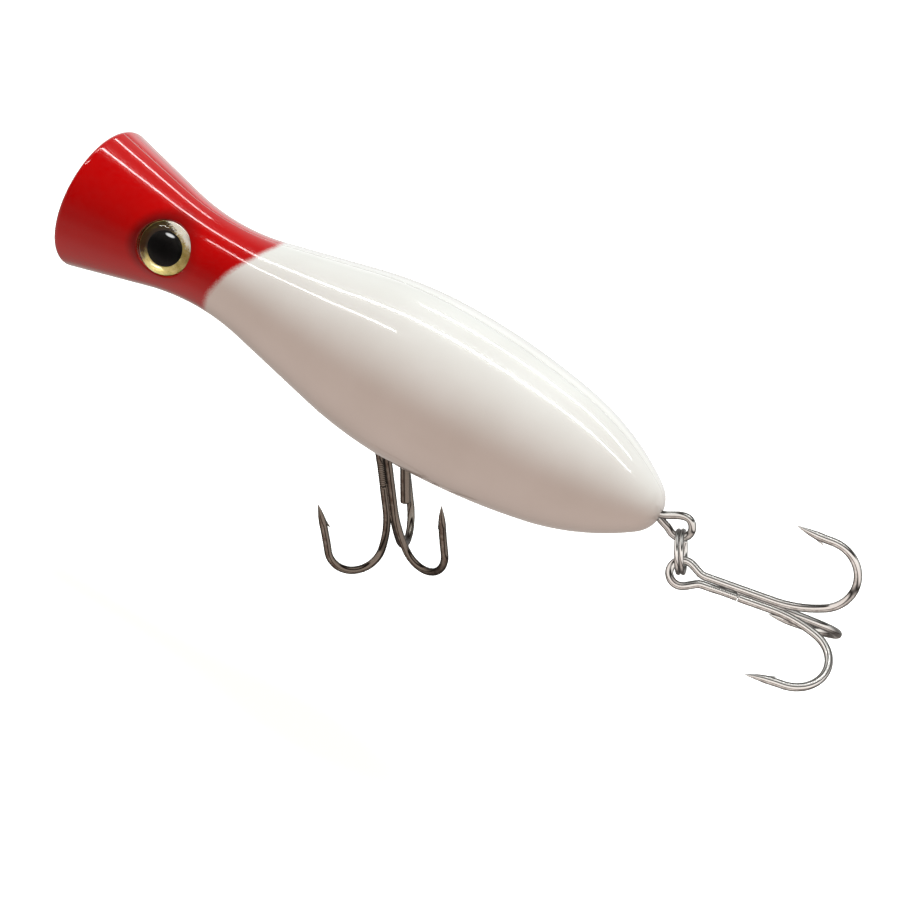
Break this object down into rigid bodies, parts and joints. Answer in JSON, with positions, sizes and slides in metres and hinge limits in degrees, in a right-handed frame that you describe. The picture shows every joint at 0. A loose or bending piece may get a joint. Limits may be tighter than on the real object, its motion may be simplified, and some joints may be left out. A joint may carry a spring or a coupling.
{
  "type": "topwater popper lure",
  "caption": "Hollow topwater popper with a cupped mouth, a fixed line tie and treble hooks swinging on split rings under the belly and at the tail.",
  "frame": {"origin": "centre of the nose eye, in the plane of the mouth rim, on the body axis", "axes": "+X from the mouth to the tail along the body axis, +Z the back of the lure, -Y its left side"},
  "size_m": [0.1406, 0.0292, 0.0498],
  "materials": {
    "white_paint": "red head and white body under clear gloss lacquer",
    "steel_wire": "bright stainless wire",
    "eye_foil": "mottled gold foil",
    "eye_black": "gloss black print",
    "eye_lens": "clear domed resin",
    "steel_ball": "polished steel ball",
    "ballast": "cast ballast slug",
    "nickel_ring": "bright nickel plating",
    "bronzed_hook": "dark bronzed nickel",
    "nickel_hook": "bright nickel plating"
  },
  "bodies": {
    "body": {"left_shell": "white_paint", "right_shell": "white_paint", "nose_eye": "steel_wire", "belly_eye": "steel_wire", "tail_eye": "steel_wire", "left_iris": "eye_foil", "left_pupil": "eye_black", "left_lens": "eye_lens", "right_iris": "eye_foil", "right_pupil": "eye_black", "right_lens": "eye_lens", "belly_ballast": "ballast", "tail_ballast": "ballast", "belly_stub": "bronzed_hook"},
    "front_ball": {"front_rattle_ball": "steel_ball"},
    "rear_ball": {"rear_rattle_ball": "steel_ball"},
    "belly_ring": {"belly_split_ring": "nickel_ring"},
    "belly_treble": {"belly_hook_pair": "bronzed_hook", "belly_hook_single": "bronzed_hook"},
    "tail_ring": {"tail_split_ring": "nickel_ring"},
    "tail_treble": {"tail_hook_pair": "nickel_hook", "tail_hook_single": "nickel_hook"}
  },
  "joints": [
    {"name": "front_ball_roll", "type": "slide", "parent": "body", "child": "front_ball", "axis": [1, 0, 0], "range_m": [-0.0034, 0.0034]},
    {"name": "rear_ball_roll", "type": "slide", "parent": "body", "child": "rear_ball", "axis": [1, 0, 0], "range_m": [-0.0052, 0.0052]},
    {"name": "belly_ring_swing", "type": "hinge", "parent": "body", "child": "belly_ring", "pos_m": [0.0588, 0, -0.007], "axis": [1, 0, 0], "range_deg": [-31, 9]},
    {"name": "belly_treble_swing", "type": "hinge", "parent": "belly_ring", "child": "belly_treble", "pos_m": [0.0588, 0.00101, -0.0122], "axis": [0, 0.9816, 0.1908], "range_deg": [-11, 55]},
    {"name": "tail_ring_swing", "type": "hinge", "parent": "body", "child": "tail_ring", "pos_m": [0.10835, 0, 0], "axis": [0, 1, 0], "range_deg": [-115, 3]},
    {"name": "tail_treble_swing", "type": "hinge", "parent": "tail_ring", "child": "tail_treble", "pos_m": [0.11152, -0.00053, -0.00647], "axis": [-0.1576, 0.9513, -0.2651], "range_deg": [-1, 115]}
  ]
}
